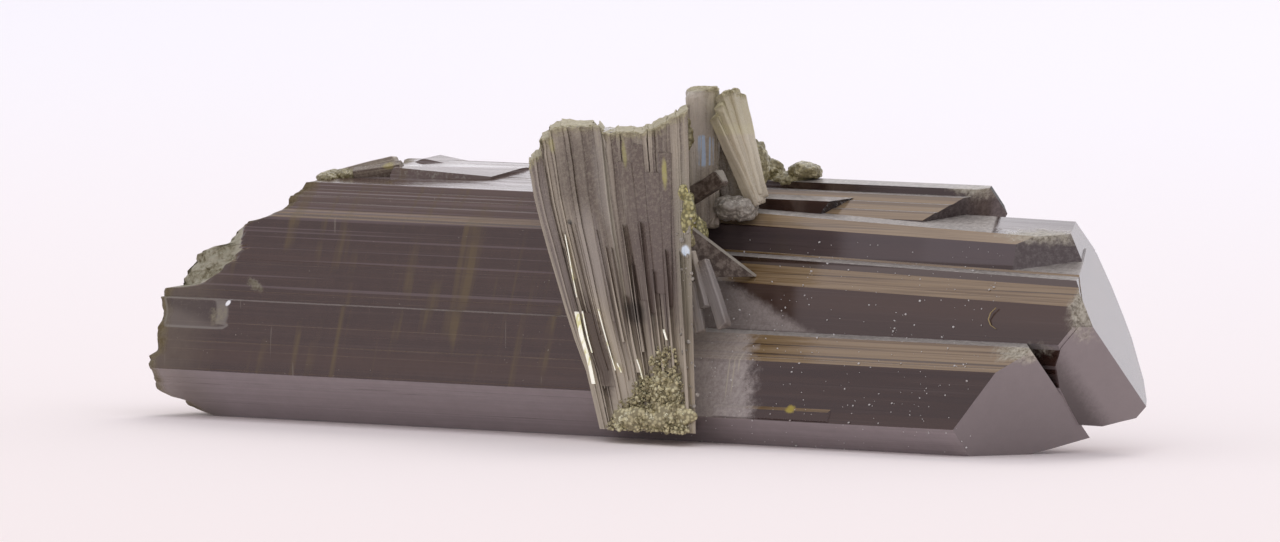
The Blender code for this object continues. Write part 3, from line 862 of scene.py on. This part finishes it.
def blade(shares, foot, top, fronts, back, tone, rng, slices=7, follow=0.0):
    """One blade: shares across the fan at foot and top, and how far in its front corners lie."""
    (foot_start, foot_end), (top_start, top_end) = shares
    bm = bmesh.new()
    grain = bm.verts.layers.float_vector.new("grain")
    shade = bm.verts.layers.float.new("tone")
    spot = bm.verts.layers.float_vector.new("spot")
    lip = 0.1
    corners = [(0.0, fronts[0] + 0.05), (lip, fronts[0]), (1 - lip, fronts[1]),
               (1.0, fronts[1] + 0.05), (1.0, back), (0.0, back)]
    spread = rng.uniform(0, 60)
    levels = [i / slices for i in range(slices + 1)] + [1.0]
    middle = read_off(FAN_TOPS, (top_start + top_end) / 2)

    def set_ring(ring, at, wave, last):
        for vert, (across, inwards) in zip(ring, corners):
            low = foot_start + (top_start - foot_start) * at + wave
            high = foot_end + (top_end - foot_end) * at + wave
            share = low + (high - low) * across
            height = foot + (top + follow * (read_off(FAN_TOPS, share) - middle) - foot) * at
            if last:
                inwards += 0.16 if inwards < 1.5 else -0.16
            elif at == 1.0:
                height -= 0.1
            vert.co = fan_place(share, height, inwards)
            vert[grain] = (share * 9.0 + spread, inwards, height)
            vert[shade] = tone
            vert[spot] = (share * FAN_SPREAD * MM, 0, height * MM)

    ring = [bm.verts.new() for _ in corners]
    set_ring(ring, 0.0, 0.0, False)
    bm.faces.new(ring)
    for i, at in enumerate(levels[1:]):
        far = bmesh.ops.extrude_edge_only(bm, edges=[e for e in bm.edges if all(
            v in ring for v in e.verts)])["geom"]
        fresh = [item for item in far if isinstance(item, bmesh.types.BMVert)]
        ring = [min(fresh, key=lambda v, old=old: (v.co - old.co).length) for old in ring]
        set_ring(ring, at, 0.0012 * rng.uniform(-1, 1), i == len(levels) - 2)
    bm.faces.new(ring)
    bmesh.ops.recalc_face_normals(bm, faces=bm.faces)
    return bm


def blade_finish(name, zones):
    """Olive-grey blades with fine streaks up their length and a crumbly olive rim on top."""
    made, shader, place = new_material(name, (0.1, 0.08, 0.06), 0.25)
    feed(shader, {"IOR": 1.7, "Specular Tint": (1.0, 0.92, 0.86, 1)})
    grain = attribute(place, "grain", "Vector")
    tone = attribute(place, "tone")
    streaks = fractal(scaled(grain, (4.5, 3.0, 0.1)), 4, 0.6)
    threads = fractal(scaled(grain, (17.0, 12.0, 0.25)), 3)
    crumbs = noise_of(place, (5, 5, 5), 6, 0.8)
    level = plus(tone, times(minus(streaks, 0.5), 1.5))
    high = along(place, (0.06, 0, 1))
    level = plus(level, times(ramp(high, 8.0 * MM, 3.0 * MM), 0.55))
    body = blended(ramp(level, 0.15, 0.95), (0.1, 0.07, 0.055), (0.43, 0.37, 0.29))
    body = over(body, (0.4, 0.36, 0.29), ramp(threads, 0.6, 0.7), 0.5)
    # painted light: yellow-green light shining through along some streaks
    painted_glow = times(ramp(streaks, 0.62, 0.72), ramp(threads, 0.45, 0.6))
    body = over(body, (0.38, 0.33, 0.12), painted_glow, 0.6)
    body = over(body, (0.06, 0.042, 0.03), ramp(threads, 0.4, 0.32), 0.35)
    spot = attribute(place, "spot", "Vector")
    for across, up, half_across, half_up, colour, amount in zones:
        inside = patch(spot, (across, 0, up), (half_across, 1, half_up), 0, 0.22, 0.45)
        inside = times(inside, plus(0.65, times(threads, 0.6)))
        body = over(body, colour, inside, amount)
    dust = times(ramp(high, 7.0 * MM, 16.0 * MM), ramp(crumbs, 0.47, 0.62))
    body = over(body, (0.36, 0.32, 0.24), dust, 0.4)
    rim = ramp(plus(attribute(place, "rim"), times(crumbs, 0.6)), 0.85, 1.15)
    body = over(body, blended(ramp(crumbs, 0.4, 0.65), (0.26, 0.22, 0.105), (0.58, 0.53, 0.33)),
                rim, 0.85)
    rough = plus(0.2, times(most(rim, dust), 0.4))
    feed(shader, {"Base Color": body, "Roughness": rough})
    relief = plus(plus(streaks, times(threads, 0.5)), times(crumbs, rim, 1.5))
    bumped(shader, relief, 0.035)
    return made


def painted_flash_finish():
    """Painted flashes on mirror-bright faces: nearly white, yellow-green edged, faintly glowing."""
    made, shader, place = new_material("flashing_face", (0.85, 0.82, 0.62), 0.08)
    feed(shader, {"Emission Color": (1.0, 0.97, 0.8, 1), "Emission Strength": 0.22, "IOR": 1.7})
    spots = noise_of(place, (3.0, 3.0, 0.5), 3)
    body = blended(ramp(spots, 0.34, 0.48), (0.58, 0.53, 0.18), (0.97, 0.95, 0.84))
    feed(shader, {"Base Color": body})
    bumped(shader, spots, 0.01)
    return made


def mark_rim(bm, depth):
    """Mark how near each point lies to the fan's upper edge."""
    rim = bm.verts.layers.float.new("rim")
    for vert in bm.verts:
        left_x, right_x = fan_edges(vert.co.z)
        inwards = vert.co.y - FAN_FOOT[0] - FAN_LEAN * vert.co.z
        share = (vert.co.x - inwards * FAN_TURN[0] - left_x) / (right_x - left_x)
        vert[rim] = max(0.0, 1 - (read_off(FAN_TOPS, share) - vert.co.z) / depth)


def drift(at):
    """A smooth random offset that differs from place to place."""
    shifts = (Vector((0, 0, 0)), Vector((31.4, 5.2, 0)), Vector((0, 47.2, 9.6)))
    return Vector([noise.noise(at + shift) for shift in shifts])


def crossing_fan():
    """All the blades side by side, shorter ones in front of them, and the faces that flash."""
    rng = random.Random(41)
    parts = []
    share = -0.01
    while share < 0.99:
        limit, back_by = next(group for group in FAN_GROUPS if group[0] > share + 1e-6)
        width = rng.choice(BLADE_WIDTHS)
        end = min(share + width, limit)
        proud = back_by + rng.uniform(-0.045, 0.045)
        fronts = (proud, proud + rng.uniform(-0.04, 0.04))
        tone = min(0.95, max(0.05, rng.gauss(0.5, 0.22)))
        if width < NEEDLE_WIDTH:
            tone, fronts = rng.choice((
                (0.95, (proud - 0.05, proud - 0.05)), (0.15, (proud + 0.05, proud + 0.05))))
        across = (share - 0.002, end + 0.002)
        top = read_off(FAN_TOPS, (share + end) / 2) - rng.uniform(0, 0.05)
        parts.append(blade((across, across), FAN_FOOT[1], top, fronts,
                           FAN_DEPTH + rng.uniform(-0.35, 0.3), tone, rng, slices=9, follow=1.0))
        share = end
    for left_share, top, front, back in FAN_CORES:
        across = (left_share, 1.0)
        parts.append(blade((across, across), FAN_FOOT[1], top, (front, front), back, 0.2, rng,
                           slices=9))
    for _ in range(SHORT_BLADES):
        share = rng.uniform(0.02, 0.92)
        width = rng.choice(BLADE_WIDTHS[1:5])
        foot = rng.uniform(0.9, 7.0)
        top = min(foot + rng.uniform(4.0, 9.0), read_off(FAN_TOPS, share) - 0.8)
        tip = share + width * rng.uniform(0.2, 0.8)
        shares = ((share, share + width), (tip, tip + 0.002))
        parts.append(blade(shares, foot, top, (-0.05 - rng.uniform(0, 0.05),) * 2, 0.8,
                           clamped(rng.gauss(0.6, 0.2)), rng, slices=5))
    for shares, foot, top, front, tone in SMOOTH_FACES:
        parts.append(blade(shares, foot, top, (front, front), 0.9, tone, rng, slices=5))
    whole = merged(parts)
    mark_rim(whole, 0.5)
    bmesh.ops.subdivide_edges(whole, edges=[
        e for e in whole.edges
        if min(v.co.z for v in e.verts) > CRUMBLY_FROM and e.calc_length() > 0.5], cuts=3)
    layer = whole.verts.layers.float["rim"]
    for vert in whole.verts:
        crumble = drift(vert.co * 2.6) + 0.5 * drift(vert.co * 6.0)
        vert.co += crumble * (0.1 * vert[layer] + 0.012)
    piece(whole, "fan_blades", blade_finish("olive_blade", FAN_ZONES))
    painted_flashes = []
    for foot_share, top_share, width, foot, top in PAINTED_FLASHES:
        shares = ((foot_share, foot_share + width), (top_share, top_share + width))
        painted_flashes.append(blade(shares, foot, top, (-0.2, -0.17), 0.3, 1.0, rng, slices=3))
    piece(merged(painted_flashes), "flashing_faces", painted_flash_finish())


crossing_fan()


# --- Free uprights and sticks ------------------------------
# Short crystals that grew clear of the fan and on the left block: two uprights beside the
# fan, short rods and sticks round them, and a thin dark plate like a sail.
# Foot, tip, width, thickness, turn about its length, tone
RODS = [
    ((2.45, 2.6, 11.5), (2.35, 2.6, 19.42), 1.85, 1.7, 36.0, 0.62),
    ((5.8, 3.2, 12.85), (3.8, 1.95, 18.0), 0.6, 1.0, 0.0, 0.45),
    ((5.76, 3.3, 13.0), (3.95, 2.15, 18.6), 0.6, 1.0, 8.0, 0.95),
    ((5.72, 3.4, 13.2), (3.9, 2.55, 19.2), 0.66, 1.1, -6.0, 0.55),
    ((5.64, 3.55, 13.4), (4.05, 3.0, 19.3), 0.66, 1.0, 5.0, 0.75),
    ((5.5, 3.65, 13.6), (4.15, 3.3, 19.0), 0.6, 1.0, 0.0, 0.95),
    ((3.6, 4.0, 12.0), (2.7, 3.6, 18.9), 1.4, 1.1, 45.0, 0.12),
    ((6.8, -3.2, 10.1), (8.3, -3.1, 6.4), 0.72, 0.6, 0.0, 0.35),
    ((6.25, -3.5, 10.6), (7.25, -3.5, 7.5), 0.5, 0.45, 10.0, 0.75),
    ((6.35, -3.6, 8.9), (6.95, -3.5, 6.1), 0.55, 0.45, -8.0, 0.6),
    ((-21.7, 1.0, 13.75), (-19.0, 2.2, 14.5), 0.75, 0.6, 20.0, 0.6),
    ((-21.0, 0.8, 13.7), (-18.4, 2.0, 14.15), 0.85, 0.5, 50.0, 0.35),
]
# On the uprights: a painted blue-white sheen, and dark and olive faces, as in the fan's zones
ROD_ZONES = [
    (3.7, 14.9, 0.35, 1.4, (0.045, 0.03, 0.026), 0.9),
    (2.1, 17.0, 1.0, 3.2, (0.58, 0.52, 0.44), 0.6),
    (4.95, 15.9, 1.5, 3.8, (0.72, 0.64, 0.46), 0.5),
    (4.65, 17.1, 1.1, 0.3, (0.58, 0.54, 0.3), 0.4),
    (4.35, 18.6, 1.2, 1.5, (0.44, 0.4, 0.25), 0.6),
    (-19.0, 14.3, 0.3, 0.18, (0.42, 0.36, 0.12), 0.7),
    (7.65, 8.2, 1.1, 2.5, (0.25, 0.228, 0.22), 0.9),
]
# the sheen below is painted: blue-white reflected light on the upright
SHEEN = (3.02, 15.85, 0.38, 0.8)       # X, Z and half sizes of a blue-white sheen
SHEEN_TINT = (0.42, 0.53, 0.68)
SAIL = ((5.2, -2.3, 12.05), (7.76, 0.55, 9.17))      # the upper edge of a thin dark plate
DARK_STICK = ((1.6, -0.1, 12.35), (5.6, 0.3, 14.6), 0.95, 0.6, 0.0, 0.3)


def rod(foot, tip, width, thickness, turn, tone, rng):
    """A four-sided crystal with bevelled edges and a chisel tip."""
    foot, tip = Vector(foot), Vector(tip)
    axis = tip - foot
    bm = bmesh.new()
    grain = bm.verts.layers.float_vector.new("grain")
    shade = bm.verts.layers.float.new("tone")
    rim = bm.verts.layers.float.new("rim")
    spot = bm.verts.layers.float_vector.new("spot")
    bmesh.ops.create_cube(bm, size=1)
    moved(bm, (width, thickness, axis.length), to=(0, 0, axis.length / 2))
    trim(bm, (0, 0, axis.length), (-0.3, -0.25, 1))
    trim(bm, (0.4 * width, 0, axis.length), (1.0, 0.1, 0.9))
    bmesh.ops.bevel(bm, geom=bm.edges[:], offset=0.14 * min(width, thickness), segments=2,
                    affect="EDGES", profile=0.5, material=-1)
    bmesh.ops.subdivide_edges(bm, edges=[e for e in bm.edges if e.calc_length() > 0.7],
                              cuts=12 if axis.length > 5 else 4)
    shift = rng.uniform(0, 50)
    for vert in bm.verts:
        x, y, z = vert.co
        vert[grain] = (x + shift, y, z)
        vert[shade] = tone
        vert[rim] = max(0.0, 1 - (axis.length - z) / 0.9) if axis.length > 5 else 0.0
        ridge = 0.07 * noise.noise((x * 3.5 + shift, y * 3.5, z * 0.25))
        vert.co += Vector((x, y, 0)).normalized() * ridge
        vert.co += (0.03 + 0.07 * vert[rim]) * drift(vert.co * 3.5)
    placed = (Vector((0, 0, 1)).rotation_difference(axis).to_matrix()
              @ Matrix.Rotation(math.radians(turn), 3, "Z"))
    moved(bm, turn=placed, to=foot)
    for vert in bm.verts:
        vert[spot] = (vert.co.x * MM, 0, vert.co.z * MM)
    return bm


def sail():
    """A thin plate like a sail, long edge up, narrowing to its lower right."""
    start, end = Vector(SAIL[0]), Vector(SAIL[1])
    along_edge = end - start
    bm = cuboid((along_edge.length, 0.35, 2.4), (along_edge.length / 2, 0, -1.2))
    trim(bm, (along_edge.length, 0, -0.1), (1.0, 0, -1.3))
    trim(bm, (0, 0, -0.6), (-0.53, 0, -1.0))
    trim(bm, (0, 0.1, 0), (0, -0.6, 1.0))
    moved(bm, turn=along_edge.to_track_quat("X", "Z").to_matrix(), to=start)
    bmesh.ops.recalc_face_normals(bm, faces=bm.faces)
    return bm


def sail_finish():
    """Smooth dark brown epidote with faint dust, and painted light on its upward faces."""
    made, shader, place = new_material("dark_sail", (0.05, 0.03, 0.02), 0.45)
    feed(shader, {"Specular IOR Level": 0.25})
    fine = noise_of(place, (2.5, 2.5, 2.5), 6, 0.75)
    up = along(node(place.id_data, "NewGeometry").outputs["True Normal"], (0, 0, 1))
    body = blended(ramp(fine, 0.4, 0.66), (0.066, 0.045, 0.035), (0.21, 0.17, 0.14))
    # painted light on the faces that look upwards
    lit = times(ramp(up, 0.3, 0.5), 0.7)
    body = over(body, (0.32, 0.29, 0.24), lit)
    feed(shader, {"Base Color": body})
    bumped(shader, fine, 0.02)
    return made


def uprights_and_sticks():
    """The free crystals beside the fan and on the left block."""
    rng = random.Random(8)
    parts = [rod(*sizes, rng) for sizes in RODS]
    finish = blade_finish("upright_crystal", ROD_ZONES)
    shader = finish.node_tree.nodes["Principled BSDF"]
    place = next(n for n in finish.node_tree.nodes if n.type == "TEX_COORD").outputs["Object"]
    body = shader.inputs["Base Color"].links[0].from_socket
    # a painted sheen: blue-white reflected light streaked over the upright
    x, z, half_x, half_z = SHEEN
    sheen = times(patch(place, (x, 1.7, z), (half_x, 1.4, 9), 0, 0.05, 0.1),
                  patch(place, (x, 1.7, z), (9, 9, half_z), 0, 0.35, 0.1))
    sheen = times(sheen, ramp(noise_of(place, (7.0, 7.0, 0.25), 1), 0.42, 0.54))
    feed(shader, {"Base Color": over(body, SHEEN_TINT, sheen)})
    piece(merged(parts), "free_crystals", finish)
    piece(merged([sail(), rod(*DARK_STICK, rng)]), "dark_sail", sail_finish())


uprights_and_sticks()


# --- Grainy masses ------------------------------
# Rounded masses of tiny olive and yellow-green grains, where the free crystals meet the
# long crystal.
# Centre, half sizes, 0 dusty grey to 1 glassy yellow-green
MASSES = [
    ((-22.5, 0.5, 13.55), (0.75, 0.9, 0.42), 0.35), ((-21.6, 1.1, 13.75), (0.8, 0.8, 0.42), 0.4),
    ((-20.4, 1.7, 13.9), (0.8, 0.6, 0.32), 0.8),
    ((4.9, 2.4, 12.65), (1.25, 1.2, 0.75), 0.1),
    ((6.55, -4.15, 12.6), (0.42, 0.4, 1.15), 1.0), ((6.75, -4.2, 11.3), (0.3, 0.3, 0.5), 0.8),
    ((6.1, -3.95, 13.8), (0.35, 0.3, 0.5), 0.9),
    ((3.9, -1.6, 12.2), (1.1, 1.0, 1.5), 0.9), ((3.6, -2.3, 10.9), (1.0, 0.9, 1.3), 1.0),
    ((4.7, -0.9, 11.4), (0.6, 0.6, 1.0), 1.0),
    ((2.6, 8.0, 14.4), (1.1, 1.0, 0.9), 0.75), ((5.5, 8.0, 14.55), (1.15, 0.9, 0.5), 0.8),
    ((4.3, 8.0, 14.0), (1.4, 0.9, 0.45), 0.7), ((3.9, 5.4, 14.9), (0.7, 1.1, 1.45), 0.7),
    ((3.4, 4.9, 16.5), (0.4, 0.8, 0.9), 0.7), ((1.9, 1.8, 16.9), (0.6, 0.9, 1.3), 0.6),
]
# Per kind: the glassiness it stays under, and painted shadow, dark, light and painted spark colours
MASS_KINDS = {
    "dusty_masses": (0.3, ((0.27, 0.24, 0.205), (0.32, 0.285, 0.24), (0.41, 0.37, 0.315),
                           (0.58, 0.54, 0.47))),
    "olive_masses": (0.85, ((0.19, 0.16, 0.075), (0.27, 0.23, 0.115), (0.42, 0.37, 0.21),
                            (0.6, 0.55, 0.36))),
    "glassy_masses": (1.1, ((0.16, 0.14, 0.05), (0.3, 0.26, 0.09), (0.62, 0.57, 0.28),
                            (0.9, 0.78, 0.2))),
}
EDGE_CRUMBS = 110           # dusty crumbs down the fan's right-hand edge


def crumbly(centre, half, rng):
    """A rounded mass with a crumbly skin."""
    bm = bmesh.new()
    bmesh.ops.create_icosphere(bm, subdivisions=5, radius=1.0)
    shift = Vector((rng.uniform(0, 50), rng.uniform(0, 50), 0))
    for vert in bm.verts:
        spot = Vector(c * h for c, h in zip(vert.co, half)) + shift
        cells = noise.voronoi(spot * 5.0)[0][0]
        swell = 1 + 0.28 * noise.noise(spot * 1.1) + 0.15 * noise.noise(spot * 2.7)
        size = sum(half) / 3
        vert.co *= swell - 0.09 * cells / size
    return moved(bm, half, to=centre)


def grain(centre, radius, rng):
    """One small angular grain."""
    bm = bmesh.new()
    bmesh.ops.create_icosphere(bm, subdivisions=1, radius=radius)
    stretch = [rng.uniform(0.6, 1.4) for _ in range(3)]
    turned = Euler([rng.uniform(0, 6.28) for _ in range(3)]).to_matrix()
    return moved(bm, stretch, turned, centre)


def crumbly_finish(name, painted_shadow, dark, light, painted_spark, clear=0.0):
    """Granular epidote with painted shade between its grains and painted sparkles on some."""
    made, shader, place = new_material(name, dark, 0.35)
    feed(shader, {"IOR": 1.6, "Transmission Weight": clear})
    cells = node(place.id_data, "TexVoronoi", {
        "Vector": stretched(place, (4.5, 4.5, 4.5)), "Scale": 1.0, "Randomness": 1.0},
        feature="F1").outputs
    fine = noise_of(place, (14, 14, 14), 3, 0.7)
    pick = node(place.id_data, "SeparateXYZ", {"Vector": cells["Color"]}).outputs
    body = blended(pick["X"], dark, light)
    # painted shade in the cracks between the grains, and painted sparkles on a few
    body = over(body, painted_shadow, ramp(cells["Distance"], 0.3, 0.65))
    painted_glint = times(ramp(pick["Y"], 0.86, 0.92), ramp(fine, 0.45, 0.6))
    body = over(body, painted_spark, painted_glint)
    feed(shader, {"Base Color": body})
    height = minus(times(fine, 0.5), cells["Distance"])
    bumped(shader, height, 0.05)
    return made


def grainy_masses():
    """Dusty, olive and glassy masses, each kind a piece."""
    rng = random.Random(9)
    masses = {kind: [] for kind in MASS_KINDS}
    for centre, half, glass in MASSES:
        kind = next(kind for kind, (limit, _) in MASS_KINDS.items() if glass < limit)
        masses[kind].append(crumbly(centre, half, rng))
    for _ in range(EDGE_CRUMBS):
        height = rng.uniform(1.3, 13.2)
        share = 0.965 + 0.06 * noise.noise((height * 0.6, 3, 3)) + rng.uniform(-0.05, 0.03)
        centre = fan_place(share, height, rng.uniform(0.12, 0.45))
        size = rng.choice((0.04, 0.05, 0.07, 0.09, 0.13))
        masses["dusty_masses"].append(grain(centre, size, rng))
    for kind, (_, colours) in MASS_KINDS.items():
        piece(merged(masses[kind]), kind, crumbly_finish(kind[:-2], *colours))


grainy_masses()


# --- The crust at the fan's foot ------------------------------
# A crust of yellow-green grains, a fraction of a millimetre across, that fills the corner
# between the foot of the fan and the long crystal.
CRUST_LEFT = (2.7, 0.6)     # X at the foot, and its change for each mm upwards
CRUST_RIGHT = (8.8, -0.33)
CRUST_TOP = 5.7
CRUST_COUNT = 2400
CRUST_BEDS = [((5.0, -6.8, 1.4), (1.8, 0.35, 0.7)), ((7.2, -6.6, 1.6), (1.5, 0.35, 0.9)),
              ((6.5, -6.3, 3.0), (1.1, 0.28, 1.1))]


def crust():
    """Grains strewn over a low triangle of the fan's front."""
    rng = random.Random(17)
    parts = [crumbly(centre, half, rng) for centre, half in CRUST_BEDS]
    while len(parts) < CRUST_COUNT:
        height = FAN_FOOT[1] + (CRUST_TOP - FAN_FOOT[1]) * (1 - math.sqrt(rng.random()))
        low_x = CRUST_LEFT[0] + CRUST_LEFT[1] * height
        high_x = CRUST_RIGHT[0] + CRUST_RIGHT[1] * height
        x = rng.uniform(low_x - 0.3, high_x + 0.1)
        clump = noise.noise((x * 1.1, height * 1.1, 4))
        inner = min(x - low_x, high_x - x, 1.0)
        if rng.random() > 0.75 + clump + 0.5 * inner - 0.12 * height:
            continue
        thick = max(0.03, 0.28 + 0.35 * clump)
        front = FAN_FOOT[0] + FAN_LEAN * height - rng.uniform(-0.2, thick)
        size = rng.choice((0.03, 0.04, 0.05, 0.07, 0.09, 0.13))
        parts.append(grain((x, front, height), size, rng))
    piece(merged(parts), "foot_crust",
          crumbly_finish("green_crust", (0.3, 0.255, 0.14), (0.5, 0.435, 0.24),
                         (0.82, 0.75, 0.46), (1.0, 0.97, 0.7), 0.1))


crust()


# --- Dust and a fibre ------------------------------
# Specks of pale dust on the front faces of the stepped prisms, and a curl of tan lint.
DUST_TRIES = 380
DUST_X, DUST_Z = (7, 29), (1.5, 14)
DUST_WAY = Vector((-0.2, 1, -0.12))
DUST_SIZES = (0.018, 0.022, 0.022, 0.03, 0.03, 0.04, 0.06)
LINT = [(24.9, -0.25, 8.05), (24.6, -0.35, 7.75), (24.5, -0.42, 7.4), (24.7, -0.5, 7.1),
        (25.1, -0.55, 6.9)]


def dull_finish(name, roughness, waves, dark, pale):
    """A dull material that varies between two tones, so many waves a millimetre."""
    made, shader, place = new_material(name, pale, roughness)
    feed(shader, {"Base Color": blended(noise_of(place, (waves, waves, waves), 2), dark, pale)})
    return made


def dust():
    """Tiny grains lying on the faces that a ray from the front meets."""
    rng = random.Random(31)
    bm = bmesh.new()
    bm.from_mesh(right.data)
    surface = BVHTree.FromBMesh(bm)
    bm.free()
    parts = []
    for _ in range(DUST_TRIES):
        start = Vector((rng.uniform(*DUST_X), -20, rng.uniform(*DUST_Z))) * MM
        met, normal, _, _ = surface.ray_cast(start, DUST_WAY)
        if met is not None:
            size = rng.choice(DUST_SIZES)
            parts.append(grain(met / MM + normal * size * 0.5, size, rng))
    piece(merged(parts), "dust_specks",
          dull_finish("pale_dust", 0.9, 3, (0.35, 0.32, 0.3), (0.85, 0.83, 0.82)))


def lint():
    """A curl of tan fibre caught on the third prism."""
    bm = bmesh.new()
    ring = bmesh.ops.create_circle(bm, cap_ends=True, segments=6, radius=0.035)["verts"]
    bmesh.ops.translate(bm, vec=LINT[0], verts=ring)
    points = [Vector(point) for point in LINT]
    face = bm.faces[:][0]
    for old, new in zip(points, points[1:]):
        for _ in range(3):
            made = bmesh.ops.extrude_face_region(bm, geom=[face])["geom"]
            face = next(item for item in made if isinstance(item, bmesh.types.BMFace))
            bmesh.ops.translate(bm, vec=(new - old) / 3, verts=face.verts[:])
    bmesh.ops.recalc_face_normals(bm, faces=bm.faces)
    piece(bm, "lint_fibre",
          dull_finish("tan_lint", 0.7, 6, (0.24, 0.16, 0.06), (0.5, 0.4, 0.2)))


dust()
lint()
